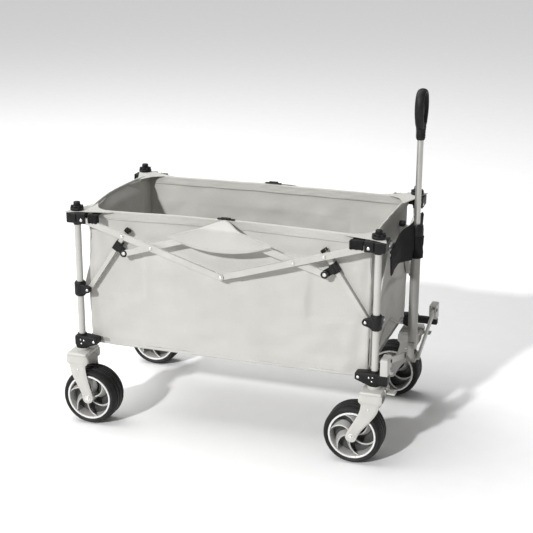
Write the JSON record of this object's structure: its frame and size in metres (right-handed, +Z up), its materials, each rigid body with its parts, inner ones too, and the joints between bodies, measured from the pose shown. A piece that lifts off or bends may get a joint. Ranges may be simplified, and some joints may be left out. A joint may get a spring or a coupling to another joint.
{
  "type": "folding wagon with pull handle",
  "caption": "Folding wagon: fabric tub hung in a scissor-linkage frame that folds inwards, swivel front casters, fixed rear wheels and a telescoping pull handle.",
  "frame": {"origin": "on the ground, under the middle of the whole wagon's box", "axes": "+X forward to the pull handle, +Y to the wagon's left, +Z up"},
  "size_m": [0.9883, 0.573, 0.9845],
  "materials": {
    "frame_metal": "satin",
    "black_plastic": "satin",
    "tyre": "matte",
    "fabric": "matte",
    "panel": "matte"
  },
  "bodies": {
    "frame_rear_right": {"post_rear_right": "frame_metal", "top_corner_rear_right": "black_plastic", "base_corner_rear_right": "black_plastic", "fabric_tub": "fabric", "floor_board": "panel"},
    "frame_front_right": {"post_front_right": "frame_metal", "top_corner_front_right": "black_plastic", "base_corner_front_right": "black_plastic"},
    "frame_front_left": {"post_front_left": "frame_metal", "top_corner_front_left": "black_plastic", "base_corner_front_left": "black_plastic"},
    "frame_rear_left": {"post_rear_left": "frame_metal", "top_corner_rear_left": "black_plastic", "base_corner_rear_left": "black_plastic"},
    "side_bar_rear_right": {"side_bar_rear_right": "frame_metal"},
    "side_bar_front_right": {"side_bar_front_right": "frame_metal"},
    "side_bar_front_left": {"side_bar_front_left": "frame_metal"},
    "side_bar_rear_left": {"side_bar_rear_left": "frame_metal"},
    "end_bar_rear_right": {"end_bar_rear_right": "frame_metal"},
    "end_bar_front_right": {"end_bar_front_right": "frame_metal"},
    "end_bar_front_left": {"end_bar_front_left": "frame_metal"},
    "end_bar_rear_left": {"end_bar_rear_left": "frame_metal"},
    "side_cross_bar_rear_right": {"side_cross_bar_rear_right": "frame_metal"},
    "side_brace_rear_right": {"side_brace_rear_right": "frame_metal"},
    "end_brace_rear_right": {"end_brace_rear_right": "frame_metal"},
    "side_clip_rear_right": {"side_clip_rear_right": "black_plastic"},
    "collar_rear_right": {"collar_rear_right": "black_plastic"},
    "bottom_rail_rear_right": {"bottom_rail_rear_right": "frame_metal"},
    "side_cross_bar_front_right": {"side_cross_bar_front_right": "frame_metal"},
    "side_brace_front_right": {"side_brace_front_right": "frame_metal"},
    "end_brace_front_right": {"end_brace_front_right": "frame_metal"},
    "side_clip_front_right": {"side_clip_front_right": "black_plastic"},
    "collar_front_right": {"collar_front_right": "black_plastic"},
    "bottom_rail_front_right": {"bottom_rail_front_right": "frame_metal"},
    "side_cross_bar_front_left": {"side_cross_bar_front_left": "frame_metal"},
    "side_brace_front_left": {"side_brace_front_left": "frame_metal"},
    "end_brace_front_left": {"end_brace_front_left": "frame_metal"},
    "side_clip_front_left": {"side_clip_front_left": "black_plastic"},
    "collar_front_left": {"collar_front_left": "black_plastic"},
    "bottom_rail_front_left": {"bottom_rail_front_left": "frame_metal"},
    "side_cross_bar_rear_left": {"side_cross_bar_rear_left": "frame_metal"},
    "side_brace_rear_left": {"side_brace_rear_left": "frame_metal"},
    "end_brace_rear_left": {"end_brace_rear_left": "frame_metal"},
    "side_clip_rear_left": {"side_clip_rear_left": "black_plastic"},
    "collar_rear_left": {"collar_rear_left": "black_plastic"},
    "bottom_rail_rear_left": {"bottom_rail_rear_left": "frame_metal"},
    "tow_link_right": {"tow_link_right": "frame_metal"},
    "tow_link_left": {"tow_link_left": "frame_metal"},
    "handle_knuckle": {"handle_knuckle": "frame_metal"},
    "handle_outer": {"handle_outer_tube": "frame_metal"},
    "handle_inner": {"handle_inner_tube": "frame_metal", "handle_grip": "black_plastic"},
    "wheel_rear_right": {"wheel_rear_right": "tyre"},
    "wheel_front_right": {"wheel_front_right": "tyre"},
    "fork_front_right": {"fork_front_right": "frame_metal"},
    "brake_pedal_front_right": {"brake_pedal_front_right": "frame_metal"},
    "wheel_front_left": {"wheel_front_left": "tyre"},
    "fork_front_left": {"fork_front_left": "frame_metal"},
    "brake_pedal_front_left": {"brake_pedal_front_left": "frame_metal"},
    "wheel_rear_left": {"wheel_rear_left": "tyre"}
  },
  "joints": [
    {"name": "fold", "type": "hinge", "parent": "frame_rear_right", "child": "side_bar_rear_right", "pos_m": [-0.42015, -0.2375, 0.608], "axis": [0, -1, 0], "range_deg": [-58, 0], "deforming": ["fabric_tub", "floor_board"]},
    {"name": "side_middle_front_right", "type": "hinge", "parent": "side_bar_rear_right", "child": "side_bar_front_right", "pos_m": [-0.01215, -0.2375, 0.48326], "axis": [0, -1, 0], "range_deg": [0, 117.16]},
    {"name": "side_top_front_right", "type": "hinge", "parent": "side_bar_front_right", "child": "frame_front_right", "pos_m": [0.39585, -0.2375, 0.608], "axis": [0, 1, 0], "range_deg": [0, 58.58]},
    {"name": "end_top_front_right", "type": "hinge", "parent": "frame_front_right", "child": "end_bar_front_right", "pos_m": [0.41785, -0.2155, 0.608], "axis": [1, 0, 0], "range_deg": [-58.58, 0]},
    {"name": "end_middle_front_left", "type": "hinge", "parent": "end_bar_front_right", "child": "end_bar_front_left", "pos_m": [0.41785, 0, 0.54212], "axis": [1, 0, 0], "range_deg": [0, 117.16]},
    {"name": "end_top_front_left", "type": "hinge", "parent": "end_bar_front_left", "child": "frame_front_left", "pos_m": [0.41785, 0.2155, 0.608], "axis": [-1, 0, 0], "range_deg": [0, 58.58]},
    {"name": "side_top_front_left", "type": "hinge", "parent": "frame_front_left", "child": "side_bar_front_left", "pos_m": [0.39585, 0.2375, 0.608], "axis": [0, 1, 0], "range_deg": [-58.58, 0]},
    {"name": "side_middle_rear_left", "type": "hinge", "parent": "side_bar_front_left", "child": "side_bar_rear_left", "pos_m": [-0.01215, 0.2375, 0.48326], "axis": [0, 1, 0], "range_deg": [0, 117.16]},
    {"name": "side_top_rear_left", "type": "hinge", "parent": "side_bar_rear_left", "child": "frame_rear_left", "pos_m": [-0.42015, 0.2375, 0.608], "axis": [0, -1, 0], "range_deg": [0, 58.58]},
    {"name": "end_top_rear_right", "type": "hinge", "parent": "frame_rear_right", "child": "end_bar_rear_right", "pos_m": [-0.44215, -0.2155, 0.608], "axis": [1, 0, 0], "range_deg": [-58.58, 0]},
    {"name": "end_middle_rear_left", "type": "hinge", "parent": "end_bar_rear_right", "child": "end_bar_rear_left", "pos_m": [-0.44215, 0, 0.54212], "axis": [1, 0, 0], "range_deg": [0, 117.16]},
    {"name": "cross_rear_right", "type": "hinge", "parent": "side_bar_rear_right", "child": "side_cross_bar_rear_right", "pos_m": [-0.21615, -0.2375, 0.54563], "axis": [0, -1, 0], "range_deg": [0, 117.16]},
    {"name": "side_brace_top_rear_right", "type": "hinge", "parent": "side_bar_rear_right", "child": "side_brace_rear_right", "pos_m": [-0.30061, -0.2375, 0.57145], "axis": [0, -1, 0], "range_deg": [0, 85.09]},
    {"name": "end_brace_top_rear_right", "type": "hinge", "parent": "end_bar_rear_right", "child": "end_brace_rear_right", "pos_m": [-0.44215, -0.09596, 0.57145], "axis": [1, 0, 0], "range_deg": [0, 85.09]},
    {"name": "clip_slide_rear_right", "type": "slide", "parent": "side_brace_rear_right", "child": "side_clip_rear_right", "axis": [0.5577, 0, 0.83], "range_m": [-0.1275, 0]},
    {"name": "collar_slide_rear_right", "type": "slide", "parent": "frame_rear_right", "child": "collar_rear_right", "axis": [0, 0, -1], "range_m": [0, 0.11844]},
    {"name": "bottom_rail_pivot_rear_right", "type": "hinge", "parent": "frame_rear_right", "child": "bottom_rail_rear_right", "pos_m": [-0.40015, -0.2375, 0.242], "axis": [0, -1, 0], "range_deg": [0, 78.78]},
    {"name": "cross_front_right", "type": "hinge", "parent": "side_bar_front_right", "child": "side_cross_bar_front_right", "pos_m": [0.19185, -0.2375, 0.54563], "axis": [0, 1, 0], "range_deg": [0, 117.16]},
    {"name": "side_brace_top_front_right", "type": "hinge", "parent": "side_bar_front_right", "child": "side_brace_front_right", "pos_m": [0.27631, -0.2375, 0.57145], "axis": [0, 1, 0], "range_deg": [0, 85.09]},
    {"name": "end_brace_top_front_right", "type": "hinge", "parent": "end_bar_front_right", "child": "end_brace_front_right", "pos_m": [0.41785, -0.09596, 0.57145], "axis": [1, 0, 0], "range_deg": [0, 85.09]},
    {"name": "clip_slide_front_right", "type": "slide", "parent": "side_brace_front_right", "child": "side_clip_front_right", "axis": [-0.5577, 0, 0.83], "range_m": [-0.1275, 0]},
    {"name": "collar_slide_front_right", "type": "slide", "parent": "frame_front_right", "child": "collar_front_right", "axis": [0, 0, -1], "range_m": [0, 0.11844]},
    {"name": "bottom_rail_pivot_front_right", "type": "hinge", "parent": "frame_front_right", "child": "bottom_rail_front_right", "pos_m": [0.37585, -0.2375, 0.242], "axis": [0, 1, 0], "range_deg": [0, 78.78]},
    {"name": "cross_front_left", "type": "hinge", "parent": "side_bar_front_left", "child": "side_cross_bar_front_left", "pos_m": [0.19185, 0.2375, 0.54563], "axis": [0, 1, 0], "range_deg": [0, 117.16]},
    {"name": "side_brace_top_front_left", "type": "hinge", "parent": "side_bar_front_left", "child": "side_brace_front_left", "pos_m": [0.27631, 0.2375, 0.57145], "axis": [0, 1, 0], "range_deg": [0, 85.09]},
    {"name": "end_brace_top_front_left", "type": "hinge", "parent": "end_bar_front_left", "child": "end_brace_front_left", "pos_m": [0.41785, 0.09596, 0.57145], "axis": [-1, 0, 0], "range_deg": [0, 85.09]},
    {"name": "clip_slide_front_left", "type": "slide", "parent": "side_brace_front_left", "child": "side_clip_front_left", "axis": [-0.5577, 0, 0.83], "range_m": [-0.1275, 0]},
    {"name": "collar_slide_front_left", "type": "slide", "parent": "frame_front_left", "child": "collar_front_left", "axis": [0, 0, -1], "range_m": [0, 0.11844]},
    {"name": "bottom_rail_pivot_front_left", "type": "hinge", "parent": "frame_front_left", "child": "bottom_rail_front_left", "pos_m": [0.37585, 0.2375, 0.242], "axis": [0, 1, 0], "range_deg": [0, 78.78]},
    {"name": "cross_rear_left", "type": "hinge", "parent": "side_bar_rear_left", "child": "side_cross_bar_rear_left", "pos_m": [-0.21615, 0.2375, 0.54563], "axis": [0, -1, 0], "range_deg": [0, 117.16]},
    {"name": "side_brace_top_rear_left", "type": "hinge", "parent": "side_bar_rear_left", "child": "side_brace_rear_left", "pos_m": [-0.30061, 0.2375, 0.57145], "axis": [0, -1, 0], "range_deg": [0, 85.09]},
    {"name": "end_brace_top_rear_left", "type": "hinge", "parent": "end_bar_rear_left", "child": "end_brace_rear_left", "pos_m": [-0.44215, 0.09596, 0.57145], "axis": [-1, 0, 0], "range_deg": [0, 85.09]},
    {"name": "clip_slide_rear_left", "type": "slide", "parent": "side_brace_rear_left", "child": "side_clip_rear_left", "axis": [0.5577, 0, 0.83], "range_m": [-0.1275, 0]},
    {"name": "collar_slide_rear_left", "type": "slide", "parent": "frame_rear_left", "child": "collar_rear_left", "axis": [0, 0, -1], "range_m": [0, 0.11844]},
    {"name": "bottom_rail_pivot_rear_left", "type": "hinge", "parent": "frame_rear_left", "child": "bottom_rail_rear_left", "pos_m": [-0.40015, 0.2375, 0.242], "axis": [0, -1, 0], "range_deg": [0, 78.78]},
    {"name": "tow_link_right_pivot", "type": "hinge", "parent": "frame_front_right", "child": "tow_link_right", "pos_m": [0.41785, -0.2155, 0.288], "axis": [1, 0, 0], "range_deg": [-58.58, 0]},
    {"name": "tow_link_left_pivot", "type": "hinge", "parent": "frame_front_left", "child": "tow_link_left", "pos_m": [0.41785, 0.2155, 0.288], "axis": [-1, 0, 0], "range_deg": [-58.58, 0]},
    {"name": "knuckle_pivot", "type": "hinge", "parent": "tow_link_right", "child": "handle_knuckle", "pos_m": [0.46785, 0, 0.22212], "axis": [1, 0, 0], "range_deg": [0, 58.58]},
    {"name": "handle_tilt", "type": "hinge", "parent": "handle_knuckle", "child": "handle_outer", "pos_m": [0.46785, 0, 0.25711], "axis": [0, 1, 0], "range_deg": [0, 95]},
    {"name": "handle_slide", "type": "slide", "parent": "handle_outer", "child": "handle_inner", "axis": [0, 0, 1], "range_m": [-0.225, 0]},
    {"name": "spin_rear_right", "type": "hinge", "parent": "frame_rear_right", "child": "wheel_rear_right", "pos_m": [-0.41215, -0.2375, 0.082], "axis": [0, 1, 0], "continuous": true},
    {"name": "swivel_front_right", "type": "hinge", "parent": "frame_front_right", "child": "fork_front_right", "pos_m": [0.41785, -0.2375, 0.206], "axis": [0, 0, 1], "continuous": true},
    {"name": "pedal_front_right", "type": "hinge", "parent": "fork_front_right", "child": "brake_pedal_front_right", "pos_m": [0.44685, -0.2375, 0.206], "axis": [0, 1, 0], "range_deg": [0, 20]},
    {"name": "spin_front_right", "type": "hinge", "parent": "fork_front_right", "child": "wheel_front_right", "pos_m": [0.36785, -0.2375, 0.082], "axis": [0, 1, 0], "continuous": true},
    {"name": "swivel_front_left", "type": "hinge", "parent": "frame_front_left", "child": "fork_front_left", "pos_m": [0.41785, 0.2375, 0.206], "axis": [0, 0, -1], "continuous": true},
    {"name": "pedal_front_left", "type": "hinge", "parent": "fork_front_left", "child": "brake_pedal_front_left", "pos_m": [0.44685, 0.2375, 0.206], "axis": [0, 1, 0], "range_deg": [0, 20]},
    {"name": "spin_front_left", "type": "hinge", "parent": "fork_front_left", "child": "wheel_front_left", "pos_m": [0.36785, 0.2375, 0.082], "axis": [0, 1, 0], "continuous": true},
    {"name": "spin_rear_left", "type": "hinge", "parent": "frame_rear_left", "child": "wheel_rear_left", "pos_m": [-0.41215, 0.2375, 0.082], "axis": [0, 1, 0], "continuous": true}
  ],
  "couplings": [
    {"joint": "side_middle_front_right", "follows": "fold", "ratio": -2},
    {"joint": "side_top_front_right", "follows": "fold", "ratio": -1},
    {"joint": "end_top_front_right", "follows": "fold", "ratio": 1},
    {"joint": "end_middle_front_left", "follows": "fold", "ratio": -2},
    {"joint": "end_top_front_left", "follows": "fold", "ratio": -1},
    {"joint": "side_top_front_left", "follows": "fold", "ratio": 1},
    {"joint": "side_middle_rear_left", "follows": "fold", "ratio": -2},
    {"joint": "side_top_rear_left", "follows": "fold", "ratio": -1},
    {"joint": "end_top_rear_right", "follows": "fold", "ratio": 1},
    {"joint": "end_middle_rear_left", "follows": "fold", "ratio": -2},
    {"joint": "cross_rear_right", "follows": "fold", "ratio": -2},
    {"joint": "side_brace_top_rear_right", "follows": "fold", "ratio": -1.4525},
    {"joint": "end_brace_top_rear_right", "follows": "fold", "ratio": -1.4525},
    {"joint": "clip_slide_rear_right", "follows": "fold", "m_per_rad": 0.1247},
    {"joint": "collar_slide_rear_right", "follows": "fold", "m_per_rad": -0.11585},
    {"joint": "bottom_rail_pivot_rear_right", "follows": "fold", "ratio": -1.3448},
    {"joint": "cross_front_right", "follows": "fold", "ratio": -2},
    {"joint": "side_brace_top_front_right", "follows": "fold", "ratio": -1.4525},
    {"joint": "end_brace_top_front_right", "follows": "fold", "ratio": -1.4525},
    {"joint": "clip_slide_front_right", "follows": "fold", "m_per_rad": 0.1247},
    {"joint": "collar_slide_front_right", "follows": "fold", "m_per_rad": -0.11585},
    {"joint": "bottom_rail_pivot_front_right", "follows": "fold", "ratio": -1.3448},
    {"joint": "cross_front_left", "follows": "fold", "ratio": -2},
    {"joint": "side_brace_top_front_left", "follows": "fold", "ratio": -1.4525},
    {"joint": "end_brace_top_front_left", "follows": "fold", "ratio": -1.4525},
    {"joint": "clip_slide_front_left", "follows": "fold", "m_per_rad": 0.1247},
    {"joint": "collar_slide_front_left", "follows": "fold", "m_per_rad": -0.11585},
    {"joint": "bottom_rail_pivot_front_left", "follows": "fold", "ratio": -1.3448},
    {"joint": "cross_rear_left", "follows": "fold", "ratio": -2},
    {"joint": "side_brace_top_rear_left", "follows": "fold", "ratio": -1.4525},
    {"joint": "end_brace_top_rear_left", "follows": "fold", "ratio": -1.4525},
    {"joint": "clip_slide_rear_left", "follows": "fold", "m_per_rad": 0.1247},
    {"joint": "collar_slide_rear_left", "follows": "fold", "m_per_rad": -0.11585},
    {"joint": "bottom_rail_pivot_rear_left", "follows": "fold", "ratio": -1.3448},
    {"joint": "tow_link_right_pivot", "follows": "fold", "ratio": 1},
    {"joint": "tow_link_left_pivot", "follows": "fold", "ratio": 1},
    {"joint": "knuckle_pivot", "follows": "fold", "ratio": -1}
  ]
}
